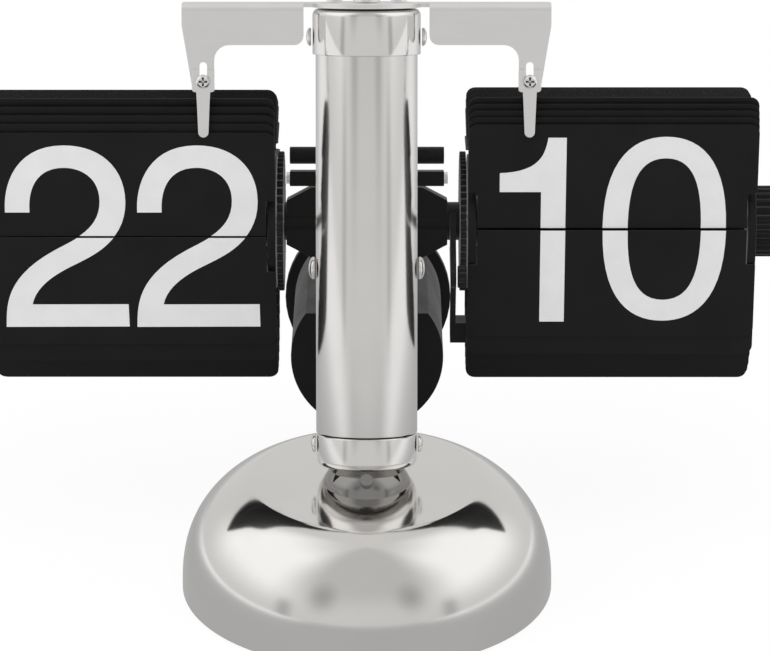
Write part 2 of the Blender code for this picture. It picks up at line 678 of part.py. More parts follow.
def make_cards(drum, left_x, split, step, lean):
    """The cards of one drum: a falling flap, its lower half, standing and hanging cards, and the rest."""
    card = sheet_mesh(drum + "_card", card_outline(), CARD_THICK)
    front = pivot(split)
    hinge = (left_x, front.x - FLAP_FORWARD - FLAP_SET_BACK, front.y)
    flap_card = sheet_mesh(drum + "_flap", card_outline(FLAP_NOTCH_LENGTH), CARD_THICK)
    flap_card.transform(Matrix.Translation((0, 0, -FLAP_SET_BACK)))
    add_object(drum + "_flap", flap_card, CARD_BLACK, DRUM_AXIS, hinge, STANDING)
    for i in range(STANDING_CARDS):
        add_card(f"{drum}_standing_card_{i + 1}", card, left_x, pivot(split + step * (i + 1)), 90)
    lower = Vector((-LOWER_CARD_FRONT, pivot(split - MINUTE_STEP).y))
    root = front.y - SPLIT_GAP - lower.y
    lower_card = sheet_mesh(drum + "_lower", card_outline(lower_notch(), root), CARD_THICK)
    add_card(drum + "_lower_card", lower_card, left_x, lower, -90)
    add_card(drum + "_hanging_card", card, left_x, pivot(split - HANGING_ANGLE), -90)
    make_pack(drum, left_x, split, lean)


# Drums that carry the cards
def toothed_outline(count, radius, depth):
    """A ring of round-topped teeth."""
    outline = []
    pitch = 360.0 / count
    for i in range(count):
        for share, cut in ((0.0, 1.0), (0.3, 0.2), (0.5, 0.0), (0.7, 0.2)):
            outline.append(polar(radius - cut * depth, pitch * (i + share)))
    return outline


def make_drum(drum, inner_x, sign, pins):
    """A spool of two flanges on a hub, with its ring of pins on the side next to the pillar."""
    bore = AXLE_RADIUS + RUNNING
    half = CARD_WIDTH / 2
    cheek = half - FLANGE_THICK
    profile = [(bore, half), (FLANGE_RADIUS, half), (FLANGE_RADIUS, cheek), (HUB_RADIUS, cheek)]
    profile += [(HUB_RADIUS, -cheek), (FLANGE_RADIUS, -cheek), (FLANGE_RADIUS, -half), (bore, -half)]
    spool = turned_mesh(drum + "_drum", profile, LARGE_STEPS, closed=True)
    middle = sign * (inner_x + half)
    add_object(drum + "_drum", spool, MOULDED_BLACK, DRUM_AXIS, (middle, 0, 0), ALONG_X)
    teeth = toothed_outline(pins, PIN_RING_RADIUS, PIN_DEPTH)
    ring = sheet_mesh(drum + "_pin_ring", teeth, PIN_RING_THICK)
    ring_x = sign * (inner_x - CLEARANCE - PIN_RING_THICK / 2)
    wheel = add_object(drum + "_pin_ring", ring, MOULDED_BLACK, DRUM_AXIS, (ring_x, 0, 0), ALONG_X)
    hole = cylinder_mesh(drum + "_ring_bore", SLEEVE_RADIUS + RUNNING, 4 * PIN_RING_THICK)
    boolean(wheel, cutter(drum + "_ring_bore", hole, DRUM_AXIS, (ring_x, 0, 0), ALONG_X), "DIFFERENCE")


def ribbed_outline(count, radius, depth):
    outline = []
    pitch = 360.0 / count
    for i in range(count):
        for share, cut in ((0.0, 0.0), (0.45, 0.0), (0.6, 1.0), (0.85, 1.0)):
            outline.append(polar(radius - cut * depth, pitch * (i + share)))
    return outline


def make_axle():
    right_end = MINUTE_INNER_X + CARD_WIDTH + CLEARANCE
    left_end = -(HOUR_INNER_X + CARD_WIDTH + CLEARANCE)
    axle = cylinder_mesh("drum_axle", AXLE_RADIUS, right_end - left_end, SMALL_STEPS)
    add_object("drum_axle", axle, SATIN_STEEL, DRUM_AXIS, ((right_end + left_end) / 2, 0, 0), ALONG_X)
    knob = sheet_mesh("setting_knob", ribbed_outline(KNOB_RIBS, KNOB_RADIUS, KNOB_RIB_DEPTH), KNOB_LENGTH)
    knob_x = right_end + CLEARANCE + KNOB_LENGTH / 2
    add_object("setting_knob", knob, MOULDED_BLACK, DRUM_AXIS, (knob_x, 0, 0), ALONG_X)
    nut = cylinder_mesh("axle_end_nut", END_NUT_RADIUS, END_NUT_LENGTH, 6)
    nut_x = left_end - CLEARANCE - END_NUT_LENGTH / 2
    add_object("axle_end_nut", nut, SATIN_STEEL, DRUM_AXIS, (nut_x, 0, 0), ALONG_X)
    sleeve_left = -(HOUR_INNER_X - CLEARANCE)
    sleeve_right = MINUTE_INNER_X - CLEARANCE
    length = sleeve_right - sleeve_left
    fit = AXLE_RADIUS + CLEARANCE
    half = length / 2
    profile = [(fit, half), (SLEEVE_RADIUS, half), (SLEEVE_RADIUS, -half), (fit, -half)]
    sleeve = turned_mesh("hub_sleeve", profile, SMALL_STEPS, closed=True)
    sleeve_x = (sleeve_left + sleeve_right) / 2
    add_object("hub_sleeve", sleeve, MOULDED_BLACK, DRUM_AXIS, (sleeve_x, 0, 0), ALONG_X)


# Works behind the pillar, square to it
def block_outline():
    half, wing = BLOCK_HALF_WIDTH, BLOCK_WING
    outline = [(half, BLOCK_HALF_HEIGHT), (-half, BLOCK_HALF_HEIGHT), (-wing, BLOCK_WING_HEIGHT)]
    outline += [(-wing, -BLOCK_WING_HEIGHT), (-half, -BLOCK_HALF_HEIGHT), (half, -BLOCK_HALF_HEIGHT)]
    return outline + [(wing, -BLOCK_WING_HEIGHT), (wing, BLOCK_WING_HEIGHT)]


def make_works():
    plate_front = TUBE_RADIUS + CLEARANCE
    plate_back = plate_front + BACK_PLATE_THICK
    half = BACK_PLATE_WIDTH / 2
    low = (-half, plate_front, AXLE_HEIGHT_ON_PILLAR - BACK_PLATE_BELOW_AXLE)
    high = (half, plate_back, AXLE_HEIGHT_ON_PILLAR + BACK_PLATE_ABOVE_AXLE)
    add_object("back_plate", box_mesh("back_plate", low, high), SATIN_STEEL, PILLAR)

    block_front = plate_back + CLEARANCE
    block_depth = AXLE_BEHIND_PILLAR + BLOCK_DEPTH - block_front
    block = sheet_mesh("axle_block", block_outline(), block_depth)
    middle = (0, block_front + block_depth / 2, AXLE_HEIGHT_ON_PILLAR)
    housing = add_object("axle_block", block, MOULDED_BLACK, PILLAR, middle, STANDING)
    bore = cylinder_mesh("sleeve_bore", SLEEVE_RADIUS + CLEARANCE, 4 * BLOCK_WING)
    boolean(housing, cutter("sleeve_bore", bore, DRUM_AXIS, (0, 0, 0), ALONG_X), "DIFFERENCE")

    guard_low = AXLE_HEIGHT_ON_PILLAR + BLOCK_HALF_HEIGHT + CLEARANCE
    low = (-BAR_HALF_LENGTH, block_front, guard_low)
    high = (BAR_HALF_LENGTH, block_front + GUARD_DEPTH, guard_low + GUARD_THICK)
    add_object("works_guard", box_mesh("works_guard", low, high), MOULDED_BLACK, PILLAR)
    bar = cylinder_mesh("stop_bar", BAR_RADIUS, 2 * BAR_HALF_LENGTH, 20)
    bar_place = (0, block_front + BAR_RADIUS, guard_low + GUARD_THICK + BAR_GAP + BAR_RADIUS)
    add_object("stop_bar", bar, MOULDED_BLACK, PILLAR, bar_place, ALONG_X)
    pin = cylinder_mesh("carry_pin", STEEL_PIN_RADIUS, 2 * STEEL_PIN_REACH, 16)
    pin_height = guard_low + STEEL_PIN_RADIUS
    pin_place = (0, block_front + GUARD_DEPTH + CLEARANCE + STEEL_PIN_RADIUS, pin_height)
    add_object("carry_pin", pin, SATIN_STEEL, PILLAR, pin_place, ALONG_X)


def pinion_place():
    distance = PIN_RING_RADIUS + PINION_RADIUS + CLEARANCE
    return (-distance * math.cos(PINION_ANGLE), -distance * math.sin(PINION_ANGLE))


def make_pinion():
    """The pinion that turns the minute drum, on an arm from the axle block."""
    back, up = pinion_place()
    outline = toothed_outline(PINION_TEETH, PINION_RADIUS, PINION_TOOTH)
    gear = sheet_mesh("drive_pinion", outline, PINION_LENGTH)
    x = MINUTE_INNER_X - CLEARANCE - PINION_LENGTH / 2
    add_object("drive_pinion", gear, MOULDED_BLACK, DRUM_AXIS, (x, back, up), ALONG_X)
    arm_x = x - PINION_LENGTH / 2 - CLEARANCE - PINION_ARM_THICK / 2
    arm = sheet_mesh("pinion_arm", arm_outline_to(back, up), PINION_ARM_THICK)
    link = add_object("pinion_arm", arm, MOULDED_BLACK, DRUM_AXIS, (arm_x, 0, 0), ON_EDGE)
    tail_points = tail_outline(Vector((back, up)), Vector(TAIL_END))
    tail = sheet_mesh("arm_tail", tail_points, 0.96 * PINION_ARM_THICK)
    boolean(link, cutter("arm_tail", tail, DRUM_AXIS, (arm_x, 0, 0), ON_EDGE), "UNION")
    reach = (TAIL_FOOT[0] / 2, TAIL_FOOT[1] / 2)
    low = (arm_x - 0.45 * PINION_ARM_THICK, TAIL_END[0] - reach[0], TAIL_END[1] - reach[1])
    high = (MINUTE_INNER_X - CLEARANCE, TAIL_END[0] + reach[0], TAIL_END[1] + reach[1])
    boolean(link, cutter("tail_foot", box_mesh("tail_foot", low, high), DRUM_AXIS), "UNION")


def tail_outline(start, end):
    """A straight bar from the pinion down to its foot."""
    along = (end - start).normalized()
    half = 0.6 * PINION_RADIUS * Vector((-along.y, along.x))
    return [tuple(start + half), tuple(start - half), tuple(end - half), tuple(end + half)]


def arm_outline_to(back, up):
    """A link from round the hub sleeve out to the pinion, as two half rounds joined by straight sides."""
    reach = math.degrees(math.atan2(up, back))
    end = PINION_RADIUS
    hub = SLEEVE_RADIUS + CLEARANCE
    outer = hub + 1.5 * MM
    outline = circle_arc((back, up), end, reach - 90, reach + 90, 2 * ARC_STEPS)
    outline += circle_arc((0, 0), outer, reach + 60, reach + 20, ARC_STEPS)
    outline += circle_arc((0, 0), hub, reach + 20, reach - 20, ARC_STEPS)
    outline += circle_arc((0, 0), outer, reach - 20, reach - 60, ARC_STEPS)
    return outline


# Battery case behind the pillar
def flat_sided_circle(radius, top, bottom):
    """A circle cut flat above and below."""
    up = math.degrees(math.asin(top / radius))
    down = math.degrees(math.asin(bottom / radius))
    outline = circle_arc((0, 0), radius, -down, up, 4 * ARC_STEPS)
    return outline + circle_arc((0, 0), radius, 180 - up, 180 + down, 4 * ARC_STEPS)


def saddle_outline():
    """A wedge between the back of the pillar and the front of the case, in world back and up."""
    back = TUBE_RADIUS + CLEARANCE
    turn = Matrix.Rotation(-CASE_TILT, 3, "X")
    on_case = [CASE_FRONT + turn @ Vector((0, -CLEARANCE, up)) for up in reversed(SADDLE_REACH)]
    corners = [on_pillar(0, back, up) for up in SADDLE_SPAN] + on_case
    return [(corner.y, corner.z) for corner in corners]


def make_case():
    saddle = sheet_mesh("case_saddle", saddle_outline(), SADDLE_WIDTH)
    add_object("case_saddle", saddle, MOULDED_BLACK, None, (0, 0, 0), ON_EDGE)
    frame = empty("case_axis", CASE_FRONT, (-CASE_TILT, 0, 0))
    outline = flat_sided_circle(CASE_RADIUS, CASE_FLAT_TOP, CASE_FLAT_BOTTOM)
    body = sheet_mesh("battery_case", outline, CASE_LENGTH)
    case = add_object("battery_case", body, MOULDED_BLACK, frame, (0, CASE_LENGTH / 2, 0), STANDING)
    room_top, room_bottom = CASE_FLAT_TOP - CASE_WALL, CASE_FLAT_BOTTOM - CASE_WALL
    hollow = flat_sided_circle(CASE_RADIUS - CASE_WALL, room_top, room_bottom)
    room = sheet_mesh("case_room", hollow, CASE_LENGTH)
    room_cutter = cutter("case_room", room, frame, (0, CASE_LENGTH / 2 + CASE_WALL, 0), STANDING)
    boolean(case, room_cutter, "DIFFERENCE")

    cover_y = CASE_LENGTH + CLEARANCE + COVER_THICK / 2
    cover_half = COVER_THICK / 2
    ring = [(COVER_OPENING, cover_half), (COVER_RADIUS, cover_half), (COVER_RADIUS, -cover_half)]
    ring += [(COVER_OPENING, -cover_half)]
    cover = turned_mesh("case_cover", ring, LARGE_STEPS, closed=True)
    add_object("case_cover", cover, MOULDED_BLACK, frame, (0, cover_y, 0), STANDING)
    door_y = CASE_LENGTH + CLEARANCE + COVER_THICK + CLEARANCE
    profile = [(0, DOOR_THICK + DOOR_GRIP), (0.5 * DOOR_RADIUS, DOOR_THICK + DOOR_GRIP)]
    profile += [(0.56 * DOOR_RADIUS, DOOR_THICK), (DOOR_RADIUS, DOOR_THICK), (DOOR_RADIUS, 0), (0, 0)]
    door = turned_mesh("battery_door", profile, LARGE_STEPS)
    add_object("battery_door", door, MOULDED_BLACK, frame, (0, door_y, 0), (-math.pi / 2, 0, 0))
    cell = cylinder_mesh("battery_cell", CELL_RADIUS, CELL_LENGTH, SMALL_STEPS)
    floor = CASE_WALL - CASE_FLAT_BOTTOM + CLEARANCE
    start = CASE_WALL + CLEARANCE
    cell_place = (0, start + CELL_LENGTH / 2, floor + CELL_RADIUS)
    add_object("battery_cell", cell, CELL_JACKET, frame, cell_place, STANDING)
    low = (-MOVEMENT_WIDTH / 2, start, floor + 2 * CELL_RADIUS + CLEARANCE)
    high = (MOVEMENT_WIDTH / 2, start + MOVEMENT_LENGTH, CASE_FLAT_TOP - CASE_WALL - CLEARANCE)
    add_object("movement_module", box_mesh("movement_module", low, high), MOULDED_BLACK, frame)


make_base()
make_screws(make_bracket(make_pillar()))
make_axle()
make_works()
make_pinion()
make_case()
make_drum("minute", MINUTE_INNER_X, 1, MINUTE_PINS)
make_drum("hour", HOUR_INNER_X, -1, HOUR_PINS)
make_cards("minute", MINUTE_INNER_X, MINUTE_SPLIT_ANGLE, MINUTE_STEP, MINUTE_LEAN)
make_cards("hour", -(HOUR_INNER_X + CARD_WIDTH), HOUR_SPLIT_ANGLE, HOUR_STEP, HOUR_LEAN)
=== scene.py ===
# %% [markdown]
# # A flip number clock, finished for its portrait
#
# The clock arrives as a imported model: every plate, card and screw already has its true size and
# place, in metres. This lesson gives it its looks. We set up a small studio, mix the finishes as
# shader nodes, turn smooth versions of the mirror-bright pieces, soften the edges of the others,
# and print the numerals on the cards. Nothing here moves the clock: each new piece rides on one of
# its bodies, so it follows when a card falls or a drum turns.

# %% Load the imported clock
import json
import math

import bmesh
import bpy
from mathutils import Matrix, Vector


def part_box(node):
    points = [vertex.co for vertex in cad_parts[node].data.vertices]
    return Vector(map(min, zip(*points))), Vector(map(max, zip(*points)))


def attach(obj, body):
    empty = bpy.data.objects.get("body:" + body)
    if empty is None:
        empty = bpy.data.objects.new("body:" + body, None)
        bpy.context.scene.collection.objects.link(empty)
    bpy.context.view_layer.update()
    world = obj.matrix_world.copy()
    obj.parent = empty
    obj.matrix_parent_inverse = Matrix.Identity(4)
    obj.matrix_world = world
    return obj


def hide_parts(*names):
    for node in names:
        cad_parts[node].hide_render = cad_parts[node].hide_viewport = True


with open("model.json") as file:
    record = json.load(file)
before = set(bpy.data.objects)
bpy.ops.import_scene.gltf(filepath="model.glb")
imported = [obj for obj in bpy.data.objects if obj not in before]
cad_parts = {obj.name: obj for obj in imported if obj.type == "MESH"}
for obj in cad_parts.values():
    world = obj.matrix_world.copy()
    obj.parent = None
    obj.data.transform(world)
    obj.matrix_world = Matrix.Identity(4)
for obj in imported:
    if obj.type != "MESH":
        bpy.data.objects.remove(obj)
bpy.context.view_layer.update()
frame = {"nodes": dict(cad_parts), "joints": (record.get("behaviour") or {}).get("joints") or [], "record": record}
MM = 0.001
NODES = frame["nodes"]
SLOT_OF = {part["node"]: part["material_slot"] for part in frame["record"]["subparts"]}
HINGE_OF = {joint["child"]: Vector(joint["pos_m"]) for joint in frame["joints"] if "pos_m" in joint}
SCENE = bpy.context.scene

# %% [markdown]
# ## The camera
#
# A product photograph is taken from far away with a long lens, so that upright edges stay nearly
# upright. Ours stands nine tenths of a metre in front, looks down by 23.5 degrees, and needs a
# 196 mm lens to fill the frame from there.

# %% Place the camera
CAMERA_PLACE = Vector((4.4028, -916.90, 467.63)) * MM
CAMERA_PITCH = math.radians(66.5)
CAMERA_LENS = 196.36
camera = bpy.data.objects.new("portrait_camera", bpy.data.cameras.new("portrait_camera"))
camera.data.sensor_width = 36.0
camera.data.lens = CAMERA_LENS
camera.data.clip_start = 0.01
camera.location = CAMERA_PLACE
camera.rotation_euler = (CAMERA_PITCH, 0, 0)
SCENE.collection.objects.link(camera)
SCENE.camera = camera
SCENE.view_settings.view_transform = "Standard"
print("camera distance to the pillar, m:", round(CAMERA_PLACE.length, 3))

# %% [markdown]
# ## A helper for wiring nodes
#
# A shader is a graph, and a graph written link by link is hard to read. This small class adds a
# node, feeds its inputs with numbers or with other sockets, and hands back the output, so that a
# finish reads like a few sums.


# %% Wire nodes together
class Wires:
    """Adds nodes to a tree and joins them."""

    def __init__(self, tree):
        self.tree = tree

    def node(self, kind, **settings):
        made = self.tree.nodes.new(kind)
        for name, value in settings.items():
            setattr(made, name, value)
        return made

    def feed(self, socket, value):
        if isinstance(value, bpy.types.NodeSocket):
            self.tree.links.new(value, socket)
        else:
            socket.default_value = value

    def sum(self, operation, *values):
        made = self.node("ShaderNodeMath", operation=operation)
        for socket, value in zip(made.inputs, values):
            self.feed(socket, value)
        return made.outputs[0]

    def ease(self, value, low, high, to_low=0.0, to_high=1.0):
        """A smooth change from to_low to to_high as value goes from low to high."""
        made = self.node("ShaderNodeMapRange", interpolation_type="SMOOTHSTEP")
        for socket, given in zip(made.inputs, (value, low, high, to_low, to_high)):
            self.feed(socket, given)
        return made.outputs[0]

    def blend(self, share, first, second):
        """A colour between first and second."""
        made = self.node("ShaderNodeMix", data_type="RGBA")
        for index, given in ((0, share), (6, first), (7, second)):
            self.feed(made.inputs[index], given)
        return made.outputs[2]

    def noise(self, place, scale, detail=2.0, rough=0.5):
        made = self.node("ShaderNodeTexNoise")
        for name, given in (("Vector", place), ("Scale", scale), ("Detail", detail), ("Roughness", rough)):
            self.feed(made.inputs[name], given)
        return made.outputs["Fac"]

    def place(self, stretch=(1.0, 1.0, 1.0)):
        """The point on the piece, in its own frame, stretched along each axis."""
        where = self.node("ShaderNodeTexCoord").outputs["Object"]
        scaled = self.node("ShaderNodeVectorMath", operation="MULTIPLY")
        self.feed(scaled.inputs[0], where)
        self.feed(scaled.inputs[1], stretch)
        return scaled.outputs[0]

    def group(self, tree, **values):
        made = self.node("ShaderNodeGroup", node_tree=tree)
        for name, given in values.items():
            self.feed(made.inputs[name.replace("_", " ")], given)
        return made.outputs

    def bump(self, height, strength, distance):
        made = self.node("ShaderNodeBump")
        for name, given in (("Height", height), ("Strength", strength), ("Distance", distance)):
            self.feed(made.inputs[name], given)
        return made.outputs["Normal"]


def grey(level):
    return (level, level, level, 1.0)


# %% [markdown]
# ## The studio
#
# Chrome has no colour of its own: what we see in it is the room. The room here is a pale tent with
# a large soft box on each side, a grey panel behind the camera, and a narrow dark gap low down
# between the panel and each box. Those gaps give the two long dark lines on the pillar; they end
# below most of what the dome mirrors. Two soft dark patches higher up shade the front of the dome. The
# world shader paints that room by direction. A ray that comes straight from the camera sees plain
# white instead.

# %% Paint the room
TENT, PANEL_LOW, PANEL_HIGH, BOX_LOW, BOX_HIGH, GAP_DARK = 0.71, 0.70, 0.58, 0.72, 1.14, 0.66
GAP_AT, GAP_HALF, GAP_SOFT, PANEL_SOFT = 52.0, 4.5, 4.0, 20.0
SPOT_ASIDE, SPOT_LIFT, SPOT_REACH, SPOT_DARK, SPOT_TALL = 29.0, 26.0, 14.0, 0.66, 0.6
BOX_EDGE, BOX_FADE = 112.0, 30.0
world = bpy.data.worlds.new("studio")
world.use_nodes = True
SCENE.world = world
wires = Wires(world.node_tree)
direction = wires.node("ShaderNodeSeparateXYZ")
wires.feed(direction.inputs[0], wires.node("ShaderNodeTexCoord").outputs["Generated"])
x, y, z = direction.outputs
aside = wires.sum("ABSOLUTE", wires.sum("ARCTAN2", x, wires.sum("MULTIPLY", y, -1.0)))
aside = wires.sum("DEGREES", aside)
lift = wires.sum("DEGREES", wires.sum("ARCSINE", z))
past_gap = wires.sum("SUBTRACT", aside, GAP_AT)
in_front = wires.ease(past_gap, -PANEL_SOFT, PANEL_SOFT, 1.0, 0.0)
panel = wires.ease(lift, 10.0, 40.0, PANEL_LOW, PANEL_HIGH)
not_behind = wires.ease(aside, BOX_EDGE, BOX_EDGE + BOX_FADE, 1.0, 0.0)
beside = wires.sum("MULTIPLY", not_behind, wires.ease(lift, 56.0, 86.0, 1.0, 0.0))
box_light = wires.ease(lift, 0.0, 30.0, BOX_LOW - TENT, BOX_HIGH - TENT)
boxes = wires.sum("ADD", wires.sum("MULTIPLY", beside, box_light), TENT)
from_boxes = wires.sum("MULTIPLY", wires.sum("SUBTRACT", 1.0, in_front), boxes)
level = wires.sum("ADD", wires.sum("MULTIPLY", in_front, panel), from_boxes)
in_gap = wires.ease(wires.sum("ABSOLUTE", past_gap), GAP_HALF - GAP_SOFT, GAP_HALF + GAP_SOFT, 1.0, 0.0)
in_gap = wires.sum("MULTIPLY", in_gap, wires.ease(lift, 9.0, 20.0, 1.0, 0.0))
gap_dimming = wires.sum("MULTIPLY", in_gap, 1.0 - GAP_DARK)
level = wires.sum("MULTIPLY", level, wires.sum("SUBTRACT", 1.0, gap_dimming))
off_aside = wires.sum("SUBTRACT", aside, SPOT_ASIDE)
off_lift = wires.sum("MULTIPLY", wires.sum("SUBTRACT", lift, SPOT_LIFT), SPOT_TALL)
squares = [wires.sum("MULTIPLY", off, off) for off in (off_aside, off_lift)]
off_spot = wires.sum("SQRT", wires.sum("ADD", *squares))
level = wires.sum("MULTIPLY", level, wires.ease(off_spot, 0.0, SPOT_REACH, SPOT_DARK, 1.0))
room = world.node_tree.nodes["Background"]
room.inputs["Color"].default_value = (1.0, 0.992, 0.982, 1.0)
wires.feed(room.inputs["Strength"], level)
white = wires.node("ShaderNodeBackground")
white.inputs["Color"].default_value = grey(1.0)
seen = wires.node("ShaderNodeMixShader")
wires.feed(seen.inputs[0], wires.node("ShaderNodeLightPath").outputs["Is Camera Ray"])
wires.feed(seen.inputs[1], room.outputs[0])
wires.feed(seen.inputs[2], white.outputs[0])
wires.feed(world.node_tree.nodes["World Output"].inputs["Surface"], seen.outputs[0])
print("room levels: tent", TENT, "soft boxes", BOX_LOW, BOX_HIGH, "gaps", GAP_DARK)

# %% [markdown]
# The lamps only shape what the room already lights: a wide one overhead and in front for the soft
# shadow under the base, and a weaker one from the left. They are kept out of reflections, where the
# painted room does that work.


# %% Hang the lamps
def soft_lamp(name, place, aim, size, power):
    lamp = bpy.data.lights.new(name, "AREA")
    lamp.shape = "DISK"
    lamp.size = size
    lamp.energy = power
    made = bpy.data.objects.new(name, lamp)
    made.location = place
    made.rotation_euler = (Vector(aim) - Vector(place)).to_track_quat("-Z", "Y").to_euler()
    made.visible_glossy = False
    SCENE.collection.objects.link(made)
    return made


soft_lamp("overhead_lamp", (0.1, -0.35, 1.1), (0, 0, 0.05), 0.9, 6.0)
soft_lamp("left_lamp", (-0.9, -0.7, 0.55), (0, 0, 0.07), 0.7, 4.0)

# %% [markdown]
# ## The floor
#
# White paper. Close to the clock it is an ordinary pale surface that takes the shadow; further out
# it fades to the same white as the backdrop, so that no horizon shows. In mirrors the paper glows at
# painted levels: a painted shadow close to the clock, greyer straight in front, near white to the sides.

# %% Lay the paper floor
FLOOR_REACH = 3.0
# In mirrors the paper glows at painted levels: darker near the clock as a painted shadow, greyer in front, near
# white to the sides.
PAPER_WHITENED, MIRRORED_NEAR_PAINTED_SHADOW, MIRRORED_FRONT, MIRRORED_FAR = 0.92, 0.44, 0.56, 0.96
floor_mesh = bpy.data.meshes.new("paper_floor")
shape = bmesh.new()
bmesh.ops.create_circle(shape, cap_ends=True, segments=96, radius=FLOOR_REACH)
shape.to_mesh(floor_mesh)
shape.free()
floor = bpy.data.objects.new("paper_floor", floor_mesh)
SCENE.collection.objects.link(floor)
paper = bpy.data.materials.new("white_paper")
paper.use_nodes = True
wires = Wires(paper.node_tree)
sheet = paper.node_tree.nodes["Principled BSDF"]
sheet.inputs["Roughness"].default_value = 0.9
sheet.inputs["Specular IOR Level"].default_value = 0.1
tooth = wires.noise(wires.place(), 900.0, 3.0)
wires.feed(sheet.inputs["Base Color"], wires.blend(tooth, grey(0.84), grey(0.88)))
glow = wires.node("ShaderNodeEmission")
path = wires.node("ShaderNodeLightPath")
out_from_clock = wires.node("ShaderNodeVectorMath", operation="LENGTH")
wires.feed(out_from_clock.inputs[0], wires.node("ShaderNodeTexCoord").outputs["Object"])
reach = out_from_clock.outputs["Value"]
spread = wires.node("ShaderNodeSeparateXYZ")
wires.feed(spread.inputs[0], wires.node("ShaderNodeTexCoord").outputs["Object"])
sideways = wires.sum("DIVIDE", wires.sum("ABSOLUTE", spread.outputs["X"]), reach)
far_level = wires.ease(sideways, 0.45, 0.90, MIRRORED_FRONT, MIRRORED_FAR)
# Painted shadow: the glow seen in mirrors is darkened close to the clock.
mirrored_painted_level = wires.ease(reach, 0.06, 0.40, MIRRORED_NEAR_PAINTED_SHADOW, far_level)
wires.feed(glow.inputs["Strength"], wires.ease(path.outputs["Is Glossy Ray"], 0.0, 1.0, 1.0, mirrored_painted_level))
far = wires.ease(reach, 0.06, 0.24, PAPER_WHITENED, 1.0)
straight = wires.sum("MAXIMUM", path.outputs["Is Camera Ray"], path.outputs["Is Glossy Ray"])
paper_mix = wires.node("ShaderNodeMixShader")
wires.feed(paper_mix.inputs[0], wires.sum("MULTIPLY", far, straight))
wires.feed(paper_mix.inputs[1], sheet.outputs[0])
wires.feed(paper_mix.inputs[2], glow.outputs[0])
wires.feed(paper.node_tree.nodes["Material Output"].inputs["Surface"], paper_mix.outputs[0])
floor_mesh.materials.append(paper)
print("floor radius, m:", FLOOR_REACH)

# %% [markdown]
# ## Effects that several finishes share
#
# Real surfaces are never perfectly even. Four effects cover this clock: a fine moulded grain, the
# faint haze and hairlines left by polishing, a painted highlight along the edges, and a trace of
# dust on what faces up. Each one is a node group with its own inputs, so that a finish can place it
# with its own values.


# %% Start a node group
def new_group(name, inputs, outputs):
    """A shader group with number inputs: (tree, its wires, its input sockets, its output sockets)."""
    tree = bpy.data.node_groups.new(name, "ShaderNodeTree")
    for label, value in inputs.items():
        socket = tree.interface.new_socket(label, in_out="INPUT", socket_type="NodeSocketFloat")
        socket.default_value = value
    for label in outputs:
        tree.interface.new_socket(label, in_out="OUTPUT", socket_type="NodeSocketFloat")
    wires = Wires(tree)
    given = wires.node("NodeGroupInput").outputs
    return tree, wires, given, wires.node("NodeGroupOutput").inputs


# %% Moulded grain
GRAIN, wires, given, out = new_group("moulded_grain", {"Scale": 4000.0, "Patch": 120.0}, ("Height", "Tone"))
fine = wires.noise(wires.place(), given["Scale"], 3.0, 0.6)
patch = wires.noise(wires.place(), given["Patch"], 2.0)
wires.feed(out["Height"], fine)
mixed = wires.sum("ADD", wires.sum("MULTIPLY", fine, 0.5), wires.sum("MULTIPLY", patch, 0.5))
wires.feed(out["Tone"], wires.ease(mixed, 0.35, 0.65))

# %% Polishing haze and hairlines
HAZE_INPUTS = {"Across": 9000.0, "Along": 40.0, "Patch": 45.0}
HAZE, wires, given, out = new_group("polish_haze", HAZE_INPUTS, ("Haze", "Hairline"))
spot = wires.node("ShaderNodeSeparateXYZ")
wires.feed(spot.inputs[0], wires.place())
lines = wires.node("ShaderNodeCombineXYZ")
for axis, rate in zip("XYZ", ("Along", "Across", "Across")):
    wires.feed(lines.inputs[axis], wires.sum("MULTIPLY", spot.outputs[axis], given[rate]))
wires.feed(out["Hairline"], wires.noise(lines.outputs[0], 1.0, 2.0, 0.6))
cloud = wires.noise(wires.place(), given["Patch"], 4.0, 0.55)
wires.feed(out["Haze"], wires.ease(cloud, 0.38, 0.68))

# %% Painted edge highlights
EDGE_HIGHLIGHT, wires, given, out = new_group("painted_edge_highlight", {"Width": 0.0003}, ("Mask",))
# Painted highlight mask: 1 along rounded edges, where a finish paints them lighter.
rounded = wires.node("ShaderNodeBevel", samples=4)
wires.feed(rounded.inputs["Radius"], given["Width"])
turned_by = wires.node("ShaderNodeVectorMath", operation="DOT_PRODUCT")
wires.feed(turned_by.inputs[0], rounded.outputs["Normal"])
wires.feed(turned_by.inputs[1], wires.node("ShaderNodeNewGeometry").outputs["Normal"])
wires.feed(out["Mask"], wires.ease(turned_by.outputs["Value"], 0.80, 0.995, 1.0, 0.0))

# %% Settled dust
DUST, wires, given, out = new_group("settled_dust", {"Speck": 2600.0}, ("Mask",))
up = wires.node("ShaderNodeSeparateXYZ")
wires.feed(up.inputs[0], wires.node("ShaderNodeTexCoord").outputs["Normal"])
specks = wires.ease(wires.noise(wires.place(), given["Speck"], 2.0), 0.52, 0.72)
wires.feed(out["Mask"], wires.sum("MULTIPLY", specks, wires.ease(up.outputs["Z"], 0.3, 0.95)))
print("shared effects:", [g.name for g in bpy.data.node_groups])

# %% [markdown]
# ## The finishes
#
# Each finish is one Principled shader. Numbers that hold all over, such as the metal's shine, are
# set straight on the shader; only what varies over the surface comes through nodes.


# %% Start a finish
def new_finish(name, metallic=0.0, **plain):
    """(material, its wires, its shader), with the plain values set on the shader's own sockets."""
    made = bpy.data.materials.new(name)
    made.use_nodes = True
    shader = made.node_tree.nodes["Principled BSDF"]
    shader.inputs["Metallic"].default_value = metallic
    for label, value in plain.items():
        shader.inputs[label.replace("_", " ")].default_value = value
    return made, Wires(made.node_tree), shader


FINISH = {}
